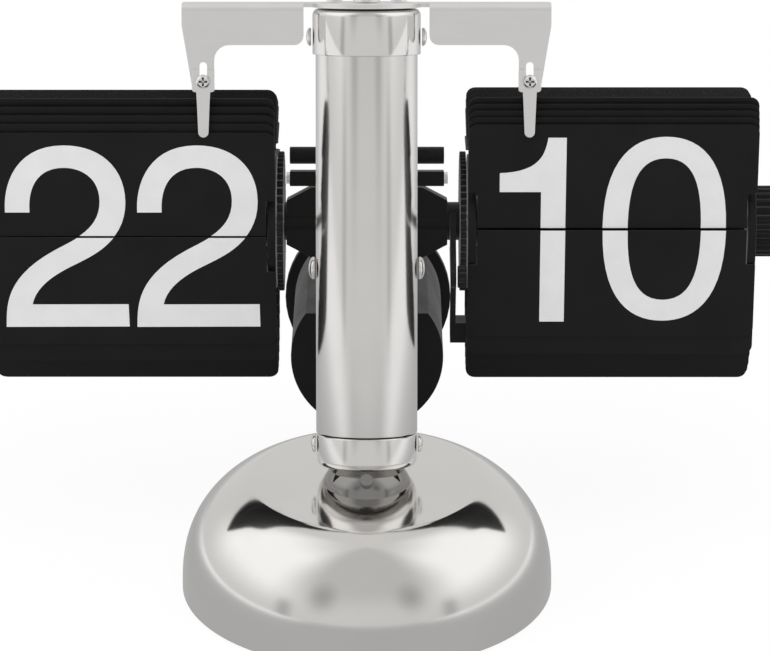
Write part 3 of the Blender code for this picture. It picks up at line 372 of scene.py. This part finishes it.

# %% [markdown]
# ** Chrome.** A mirror with a warm cast. A real plated piece is never quite even: a soft haze of
# wiping marks changes its roughness a little. The small turned pieces are polished bright. The pillar
# is softest, and the dome lies between: there the room melts into broad pools of light, while what
# stands close to it still shows a clear edge. The ball-shaped neck is painted dark, a painted shade
# for the dark surroundings it mirrors.


# %% Chrome
def chrome(name, clear, hazy, pale=(0.800, 0.788, 0.772, 1), dull=(0.780, 0.768, 0.752, 1)):
    made, wires, shader = new_finish(name, 1.0)
    haze = wires.group(HAZE, Across=2600.0, Along=30.0, Patch=38.0)
    wires.feed(shader.inputs["Base Color"], wires.blend(haze["Haze"], pale, dull))
    wires.feed(shader.inputs["Roughness"], wires.ease(haze["Haze"], 0.0, 1.0, clear, hazy))
    wires.feed(shader.inputs["Normal"], wires.bump(haze["Hairline"], 0.012, 0.0002))
    return made


FINISH["chrome"] = chrome("bright_chrome", 0.06, 0.10)
PILLAR_CHROME = chrome("pillar_chrome", 0.15, 0.18)
DOME_CHROME = chrome("dome_chrome", 0.10, 0.13)
# Painted shade: the neck's chrome is darkened to stand in for the dark surroundings it mirrors.
NECK_PAINTED_SHADE_CHROME = chrome("neck_painted_shade_chrome", 0.07, 0.11, (0.270, 0.262, 0.254, 1), (0.225, 0.218, 0.210, 1))

# %% [markdown]
# ** Satin steel.** The hanger bracket is sheet metal with a fine matt face, close to the grey of the
# numerals. Hairlines run along its length, and its cut edges carry a painted highlight.

# %% Satin steel
FINISH["satin_steel"], wires, shader = new_finish("satin_sheet", 1.0)
haze = wires.group(HAZE, Across=5200.0, Along=160.0, Patch=70.0)
# Painted highlight: the cut edges are painted lighter.
edge = wires.group(EDGE_HIGHLIGHT, Width=0.00025)["Mask"]
tone = wires.blend(haze["Hairline"], (0.830, 0.825, 0.817, 1), (0.890, 0.885, 0.877, 1))
wires.feed(shader.inputs["Base Color"], wires.blend(edge, tone, (0.93, 0.925, 0.915, 1)))
wires.feed(shader.inputs["Roughness"], wires.ease(haze["Haze"], 0.0, 1.0, 0.36, 0.44))
wires.feed(shader.inputs["Normal"], wires.bump(haze["Hairline"], 0.05, 0.0002))

# %% [markdown]
# ** Screw steel.** A small screw head is bright, and its recess is painted dark, a painted shade. An
# occlusion node knows how deep a point lies in a hollow, so it places that painted shade by itself.

# %% Screw steel
SCREW_STEEL, wires, shader = new_finish("screw_steel", 1.0)
haze = wires.group(HAZE, Across=9000.0, Along=400.0, Patch=300.0)
hollow = wires.node("ShaderNodeAmbientOcclusion", samples=8, only_local=True)
hollow.inputs["Distance"].default_value = 0.0009
# Painted shade: the recess is darkened where the occlusion node finds a hollow.
recess_painted_shade = wires.ease(hollow.outputs["AO"], 0.45, 0.85, 1.0, 0.0)
wires.feed(shader.inputs["Base Color"], wires.blend(recess_painted_shade, (0.86, 0.852, 0.840, 1), (0.035, 0.034, 0.033, 1)))
wires.feed(shader.inputs["Roughness"], wires.ease(haze["Haze"], 0.0, 1.0, 0.16, 0.24))
wires.feed(shader.inputs["Normal"], wires.bump(haze["Hairline"], 0.03, 0.0001))

# %% [markdown]
# ** Card black and moulded black.** Both are black plastic. The cards are thin sheet with a dull
# satin face; the drums, knob and case are moulded, a little glossier and with a coarser grain. Their
# edges carry a painted highlight, which is what lets us count the cards.


# %% Black plastics
def black_plastic(name, dark, pale, edge_highlight_tone, gloss, grain_scale, grain_depth):
    made, wires, shader = new_finish(name, Specular_IOR_Level=0.2)
    grain = wires.group(GRAIN, Scale=grain_scale, Patch=90.0)
    # Painted highlight: the edges are painted lighter.
    edge = wires.group(EDGE_HIGHLIGHT, Width=0.0002)["Mask"]
    dust = wires.group(DUST, Speck=2400.0)["Mask"]
    tone = wires.blend(grain["Tone"], grey(dark), grey(pale))
    tone = wires.blend(wires.sum("MULTIPLY", edge, 0.55), tone, grey(edge_highlight_tone))
    wires.feed(shader.inputs["Base Color"], wires.blend(wires.sum("MULTIPLY", dust, 0.05), tone, grey(0.35)))
    rough = wires.ease(grain["Tone"], 0.0, 1.0, gloss, gloss + 0.10)
    wires.feed(shader.inputs["Roughness"], wires.sum("ADD", rough, wires.sum("MULTIPLY", dust, 0.15)))
    wires.feed(shader.inputs["Normal"], wires.bump(grain["Height"], 0.16, grain_depth))
    return made


FINISH["card_black"] = black_plastic("card_sheet", 0.0045, 0.0065, 0.022, 0.50, 5200.0, 0.00004)
FINISH["moulded_black"] = black_plastic("moulded_black", 0.0035, 0.0055, 0.020, 0.36, 3200.0, 0.00005)

# %% [markdown]
# **Rubber, iron and the cell's jacket.** These show only from below or with the door open. The iron
# is rough and uneven, the rubber is matt, and the cell has a plain painted sleeve.

# %% Rubber, iron and jacket
FINISH["rubber"], wires, shader = new_finish("foot_rubber", Specular_IOR_Level=0.3)
grain = wires.group(GRAIN, Scale=2200.0, Patch=60.0)
wires.feed(shader.inputs["Base Color"], wires.blend(grain["Tone"], grey(0.014), grey(0.024)))
wires.feed(shader.inputs["Roughness"], wires.ease(grain["Tone"], 0.0, 1.0, 0.72, 0.88))
wires.feed(shader.inputs["Normal"], wires.bump(grain["Height"], 0.3, 0.0001))
FINISH["cast_iron"], wires, shader = new_finish("cast_iron", 1.0)
grain = wires.group(GRAIN, Scale=900.0, Patch=150.0)
wires.feed(shader.inputs["Base Color"], wires.blend(grain["Tone"], grey(0.08), grey(0.14)))
wires.feed(shader.inputs["Roughness"], wires.ease(grain["Tone"], 0.0, 1.0, 0.55, 0.75))
wires.feed(shader.inputs["Normal"], wires.bump(grain["Height"], 0.5, 0.0003))
FINISH["cell_jacket"], wires, shader = new_finish("cell_sleeve", Coat_Weight=0.2)
grain = wires.group(GRAIN, Scale=1500.0, Patch=40.0)
tone = wires.blend(grain["Tone"], (0.22, 0.22, 0.24, 1), (0.27, 0.27, 0.29, 1))
wires.feed(shader.inputs["Base Color"], tone)
wires.feed(shader.inputs["Roughness"], wires.ease(grain["Tone"], 0.0, 1.0, 0.34, 0.46))

# %% [markdown]
# **Numeral ink.** Screen-printed ink is a dull pale grey with tiny pinholes where it dried thin.

# %% Numeral ink
INK, wires, shader = new_finish("numeral_ink", Specular_IOR_Level=0.3)
grain = wires.group(GRAIN, Scale=3000.0, Patch=160.0)
tone = wires.blend(grain["Tone"], (0.615, 0.618, 0.622, 1), (0.650, 0.652, 0.656, 1))
wires.feed(shader.inputs["Base Color"], tone)
wires.feed(shader.inputs["Roughness"], wires.ease(grain["Tone"], 0.0, 1.0, 0.52, 0.62))
wires.feed(shader.inputs["Normal"], wires.bump(grain["Height"], 0.08, 0.00003))
print("finishes:", sorted(FINISH), INK.name)

# %% [markdown]
# ## The pieces that stay
#
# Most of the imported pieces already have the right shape. They only look too sharp: no real edge is
# a perfect corner. Four modifiers mend that without touching the mesh. Weld joins the split corners,
# Decimate dissolves the flat triangles, Bevel rounds what is left, and Weighted Normal keeps the
# large faces flat.

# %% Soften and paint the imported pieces
EDGE_ROUND = {"card_black": 0.07 * MM, "moulded_black": 0.22 * MM, "satin_steel": 0.12 * MM}
SMALL_HEADS, HEAD_ROUND = ("finger_screw", "plate_screw", "cap_screw"), 0.03 * MM


def soften(piece, width):
    own_normals = piece.data.attributes.get("custom_normal")
    if own_normals is not None:
        piece.data.attributes.remove(own_normals)
    piece.data.shade_smooth()
    weld = piece.modifiers.new("join_corners", "WELD")
    weld.merge_threshold = 1e-6
    flat = piece.modifiers.new("merge_flats", "DECIMATE")
    flat.decimate_type = "DISSOLVE"
    flat.angle_limit = math.radians(0.5)
    edge = piece.modifiers.new("round_edges", "BEVEL")
    edge.width = width
    edge.segments = 2
    edge.limit_method = "ANGLE"
    edge.angle_limit = math.radians(28)
    shade = piece.modifiers.new("keep_faces_flat", "WEIGHTED_NORMAL")
    shade.keep_sharp = False


for name, piece in NODES.items():
    slot = SLOT_OF[name]
    piece.data.materials.clear()
    small = name.startswith(SMALL_HEADS)
    piece.data.materials.append(SCREW_STEEL if small else FINISH[slot])
    soften(piece, HEAD_ROUND if small else EDGE_ROUND.get(slot, 0.15 * MM))
print("softened pieces:", len(NODES))

# %% [markdown]
# ## Turned chrome
#
# On a mirror, the eye sees every facet. So the dome, the collar, the pillar tube and its cap are
# turned again from fine profiles: a list of (radius, height) points, spun once round the axis in many
# small steps.

# %% Spin a profile
TURNS = 160


def spin_mesh(name, profile, steps=TURNS):
    """A closed profile of (radius, height) points in millimetres, spun round Z."""
    mesh = bpy.data.meshes.new(name)
    shape = bmesh.new()
    points = [shape.verts.new((radius * MM, 0, height * MM)) for radius, height in profile]
    for first, second in zip(points, points[1:] + points[:1]):
        if (first.co - second.co).length > 1e-9 and max(first.co.x, second.co.x) > 1e-9:
            shape.edges.new((first, second))
    bmesh.ops.spin(
        shape, geom=shape.verts[:] + shape.edges[:], cent=(0, 0, 0), axis=(0, 0, 1),
        angle=2 * math.pi, steps=steps, use_merge=True,
    )
    bmesh.ops.remove_doubles(shape, verts=shape.verts, dist=1e-7)
    bmesh.ops.recalc_face_normals(shape, faces=shape.faces)
    shape.to_mesh(mesh)
    shape.free()
    mesh.shade_smooth()
    mesh.set_sharp_from_angle(angle=math.radians(32))
    return mesh


def arc(centre, radius, start, end, steps=10):
    """Points on an arc, in degrees."""
    turns = [math.radians(start + (end - start) * i / steps) for i in range(steps + 1)]
    return [(centre[0] + radius * math.cos(t), centre[1] + radius * math.sin(t)) for t in turns]


def add_piece(name, mesh, finish, body, stands_for=(), place=None):
    """Links a new piece, gives it a finish, and lets it ride on a body."""
    if place is not None:
        mesh.transform(place)
    mesh.materials.append(finish)
    piece = bpy.data.objects.new(name, mesh)
    SCENE.collection.objects.link(piece)
    if stands_for:
        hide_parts(*stands_for)
    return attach(piece, body)


# %% [markdown]
# The dome has a flat top that eases into a full shoulder, with sides that drop almost upright to the
# rim. Walking round the shoulder by angle keeps the points evenly spread, which keeps the mirror even.

# %% Turn the dome
DOME_RADIUS, DOME_HEIGHT, DOME_LIFT, DOME_SHOULDER, DOME_WALL = 45.0, 28.0, 0.6, 17.0, 2.5
CREST_POWER, SIDE_POWER = 1.4, 2.6


def dome_curve(radius, height, steps):
    flat = DOME_RADIUS - DOME_SHOULDER
    points = [(0.0, height)] + [(flat * i / 6, height) for i in range(1, 6)]
    for i in range(steps + 1):
        turn = math.pi / 2 * i / steps
        across = math.sin(turn) ** (2 / CREST_POWER)
        up = math.cos(turn) ** (2 / SIDE_POWER) if i < steps else 0.0
        points.append((flat + (radius - flat) * across, height * up))
    return points


outside = dome_curve(DOME_RADIUS, DOME_HEIGHT, 80)
inside = dome_curve(DOME_RADIUS - DOME_WALL, DOME_HEIGHT - DOME_WALL, 30)
dome_mesh = spin_mesh("chrome_dome", outside + inside[::-1], 200)
lifted = Matrix.Translation((0, 0, DOME_LIFT * MM))
add_piece("chrome_dome", dome_mesh, DOME_CHROME, "stand", ["base_dome"], lifted)
print("dome faces:", len(dome_mesh.polygons))

# %% [markdown]
# The pillar leans back by 17 degrees, so its pieces are turned upright and then tipped together. The
# ball-shaped neck, with the small hole in its front, stays as packed and takes a darkened chrome, a painted shade.

# %% Turn the pillar
PILLAR_FOOT = 29.55
PILLAR_LEAN = math.radians(17.0)
ON_PILLAR = Matrix.Translation((0, 0, PILLAR_FOOT * MM)) @ Matrix.Rotation(-PILLAR_LEAN, 4, "X")
COLLAR, TUBE, CAP = 12.05, 12.2, 12.95
COLLAR_BOTTOM, TUBE_BOTTOM, TUBE_TOP = 2.4, 10.6, 111.0
CAP_BOTTOM, CAP_CEILING, CAP_CROWN = 101.7, 111.3, 112.6
collar = arc((COLLAR - 0.35, 9.95), 0.35, 90, 0, 5)
collar += arc((COLLAR - 1.7, COLLAR_BOTTOM + 1.7), 1.7, 0, -90, 12)
collar += [(6.3, COLLAR_BOTTOM), (6.3, 10.3)]
tube = [(11.0, TUBE_TOP)] + arc((TUBE - 0.2, TUBE_TOP - 0.2), 0.2, 90, 0, 4)
tube += arc((TUBE - 0.25, TUBE_BOTTOM + 0.25), 0.25, 0, -90, 4) + [(11.0, TUBE_BOTTOM)]
cap = [(0, CAP_CROWN)] + arc((CAP - 1.6, CAP_CROWN - 1.6), 1.6, 90, 0, 12)
cap += arc((CAP - 0.2, CAP_BOTTOM + 0.2), 0.2, 0, -90, 4)
cap += [(12.5, CAP_BOTTOM), (12.5, CAP_CEILING), (0, CAP_CEILING)]
for name, profile in (("collar", collar), ("tube", tube), ("cap", cap)):
    finish = FINISH["chrome"] if name == "cap" else PILLAR_CHROME
    turned = spin_mesh("chrome_" + name, profile)
    add_piece("chrome_" + name, turned, finish, "stand", ["pillar_" + name], ON_PILLAR)
# The neck takes the darkened chrome, a painted shade for the dark it mirrors.
NODES["pillar_neck"].data.materials[0] = NECK_PAINTED_SHADE_CHROME
print("pillar pieces turned")

# %% [markdown]
# ## Numerals
#
# The cards carry tall, plain numerals, each cut in two by the gap between the falling card and the
# lower one. An outline is a list of points; where three points come together they are the two
# handles and the end of a curve. Blender fills the outline as a flat curve, and the half that is not
# on this card is cut away.

# %% Draw the numerals
NUMERAL = {
    "0": [
        [(14.87, 0), ((14.87, 19.05), (7.29, 23.75), (0, 23.75)),
         ((-7.29, 23.75), (-14.87, 19.05), (-14.87, 0)),
         ((-14.87, -19.05), (-7.29, -23.75), (0, -23.75)), ((7.29, -23.75), (14.87, -19.05), (14.87, 0))],
        [(8.82, 0), ((8.82, -10.95), (6.89, -18.25), (0, -18.25)),
         ((-6.89, -18.25), (-8.82, -10.95), (-8.82, 0)),
         ((-8.82, 10.95), (-6.89, 18.25), (0, 18.25)), ((6.89, 18.25), (8.82, 10.95), (8.82, 0))],
    ],
    "1": [
        [(-7.95, 14.41), ((1.42, 14.79), (2.83, 18.86), (3.57, 23.5)),
         (7.95, 23.5), (7.95, -24.0), (2.0, -24.0),
         (2.0, 9.55), (-7.95, 9.55)],
    ],
    "2": [
        [(-14.37, 6.34), (-14.37, 7.4), ((-14.37, 13.95), (-11.12, 23.62), (0.23, 23.62)),
         ((8.8, 23.62), (14.66, 18.18), (14.66, 9.2)), ((14.66, -0.95), (6.2, -4.85), (3.13, -6.56)),
         ((0.62, -7.96), (-7.19, -11.29), (-8.47, -17.55)), (14.83, -17.5), (14.96, -23.4), (-14.97, -23.5),
         ((-14.8, -17.82), (-14.92, -10.41), (-2.62, -3.3)), ((2.05, -0.6), (8.47, 1.98), (8.47, 9.4)),
         ((8.47, 15.6), (4.0, 17.88), (0.13, 17.88)),
         ((-6.92, 17.88), (-8.47, 11.74), (-8.47, 7.4)), (-8.47, 6.34)],
    ],
    "3": [
        [(-14.15, 9.0), (-14.15, 10.2), ((-14.15, 18.6), (-8.5, 23.62), (-0.15, 23.62)),
         ((8.15, 23.62), (13.55, 18.9), (13.55, 11.9)), ((13.55, 7.0), (11.35, 3.6), (7.55, 1.6)),
         ((12.35, -0.3), (14.85, -4.0), (14.85, -9.4)), ((14.85, -17.8), (8.65, -23.6), (-0.25, -23.6)),
         ((-9.25, -23.6), (-14.65, -18.2), (-14.85, -9.2)), (-8.85, -9.2),
         ((-8.65, -14.8), (-5.65, -18.0), (-0.25, -18.0)), ((5.15, -18.0), (8.65, -14.6), (8.65, -9.6)),
         ((8.65, -4.0), (5.05, -1.2), (-0.95, -1.2)), (-3.25, -1.2), (-3.25, 3.9), (-1.25, 3.9),
         ((4.35, 3.9), (7.45, 6.7), (7.45, 11.3)), ((7.45, 15.5), (4.55, 18.1), (-0.15, 18.1)),
         ((-5.25, 18.1), (-8.15, 15.0), (-8.25, 9.0))],
    ],
}
CELL_PITCH = 31.8
INK_THICK = 0.03
CURVE_STEPS = 14


def outline_points(parts):
    points = [parts[0]]
    for part in parts[1:]:
        if not isinstance(part[0], tuple):
            points.append(part)
            continue
        start, (first, second, end) = points[-1], part
        for i in range(1, CURVE_STEPS + 1):
            t = i / CURVE_STEPS
            shares = ((1 - t) ** 3, 3 * (1 - t) ** 2 * t, 3 * (1 - t) * t * t, t ** 3)
            corners = (start, first, second, end)
            points.append(tuple(sum(s * c[k] for s, c in zip(shares, corners)) for k in (0, 1)))
    return points[:-1] if points[-1] == points[0] else points


def number_mesh(name, number):
    """Both digits of a number, filled and given the ink's thickness, in millimetres about the split."""
    curve = bpy.data.curves.new(name, "CURVE")
    curve.dimensions = "2D"
    curve.fill_mode = "BOTH"
    curve.extrude = INK_THICK / 2
    for digit, middle in zip(number, (-CELL_PITCH / 2, CELL_PITCH / 2)):
        for parts in NUMERAL[digit]:
            points = outline_points(parts)
            spline = curve.splines.new("POLY")
            spline.points.add(len(points) - 1)
            for point, (x, y) in zip(spline.points, points):
                point.co = (x + middle, y, 0.0, 1.0)
            spline.use_cyclic_u = True
    guide = bpy.data.objects.new(name, curve)
    SCENE.collection.objects.link(guide)
    bpy.context.view_layer.update()
    mesh = bpy.data.meshes.new_from_object(guide.evaluated_get(bpy.context.evaluated_depsgraph_get()))
    bpy.data.objects.remove(guide)
    return mesh


def half_number(name, number, upper, trim):
    """The half of a number above or below the split, trimmed back from it."""
    mesh = number_mesh(name, number)
    sign = 1 if upper else -1
    shape = bmesh.new()
    shape.from_mesh(mesh)
    bmesh.ops.remove_doubles(shape, verts=shape.verts, dist=1e-5)
    bmesh.ops.bisect_plane(
        shape, geom=shape.verts[:] + shape.edges[:] + shape.faces[:], dist=1e-6,
        plane_co=(0, sign * trim, 0), plane_no=(0, sign, 0), clear_inner=True,
    )
    bmesh.ops.holes_fill(shape, edges=[e for e in shape.edges if e.is_boundary])
    bmesh.ops.recalc_face_normals(shape, faces=shape.faces)
    bmesh.ops.scale(shape, vec=(MM, MM, MM), verts=shape.verts)
    shape.to_mesh(mesh)
    shape.free()
    mesh.name = name
    return mesh


# %% [markdown]
# At rest the front shows 22 and 10. The back of each falling card already carries the lower half of
# the next number, and the card behind it the upper half, so that the time still reads when a card
# has dropped.

# %% Print the cards
UPRIGHT = Matrix.Rotation(math.pi / 2, 4, "X")
SPLIT_DROP = 0.2 * MM
PRINT_GAP = 0.004 * MM
LAYOUT = {"hour": ("22", "23", 0.0), "minute": ("10", "11", -3.36 * MM)}


def print_on(drum, card, number, upper, body, face_y, split_z, trim, flip=False):
    low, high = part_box(card)
    middle = (low.x + high.x) / 2 + LAYOUT[drum][2]
    name = f"{card}_{'top' if upper else 'bottom'}_{number}"
    place = Matrix.Translation((middle, face_y, split_z)) @ UPRIGHT
    if flip:
        place = Matrix.Translation((middle, face_y, split_z)) @ Matrix.Rotation(math.pi, 4, "X") @ UPRIGHT
    mesh = half_number(name, number, upper, trim)
    return add_piece(name, mesh, INK, body, (), place)


printed = []
for drum, (shown, coming, _) in LAYOUT.items():
    flap, lower, behind = drum + "_flap", drum + "_lower_card", drum + "_standing_card_1"
    hinge = HINGE_OF[flap]
    lift = INK_THICK * MM / 2 + PRINT_GAP
    split = hinge.z - SPLIT_DROP
    front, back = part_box(flap)[0].y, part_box(flap)[1].y
    lower_top = (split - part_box(lower)[1].z) / MM + 0.05
    printed.append(print_on(drum, flap, shown, True, flap, front - lift, split, 0.25))
    printed.append(print_on(drum, lower, shown, False, "stand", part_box(lower)[0].y - lift, split, lower_top))
    fallen = 2 * hinge.z - split
    printed.append(print_on(drum, flap, coming, False, flap, back + lift, fallen, lower_top, True))
    behind_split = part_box(behind)[0].z - SPLIT_DROP
    behind_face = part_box(behind)[0].y - lift
    printed.append(print_on(drum, behind, coming, True, "stand", behind_face, behind_split, 0.25))
print("printed halves:", [piece.name for piece in printed])

# %% [markdown]
# Mirrors this close would repeat the print, the undersides of the card packs and the black works as
# a busy pattern. As with the lamps, they are kept out of reflections, so that the dome and the pillar
# mirror only the room and the plain dark cards in front.

# %% Keep the works, the packs and the print out of the mirror
unmirrored = ["hour_card_pack", "minute_card_pack"]
unmirrored += [name for name, slot in SLOT_OF.items() if slot == "moulded_black"]
for piece in printed + [NODES[name] for name in unmirrored]:
    piece.visible_glossy = False
print("kept out of reflections:", len(printed) + len(unmirrored))
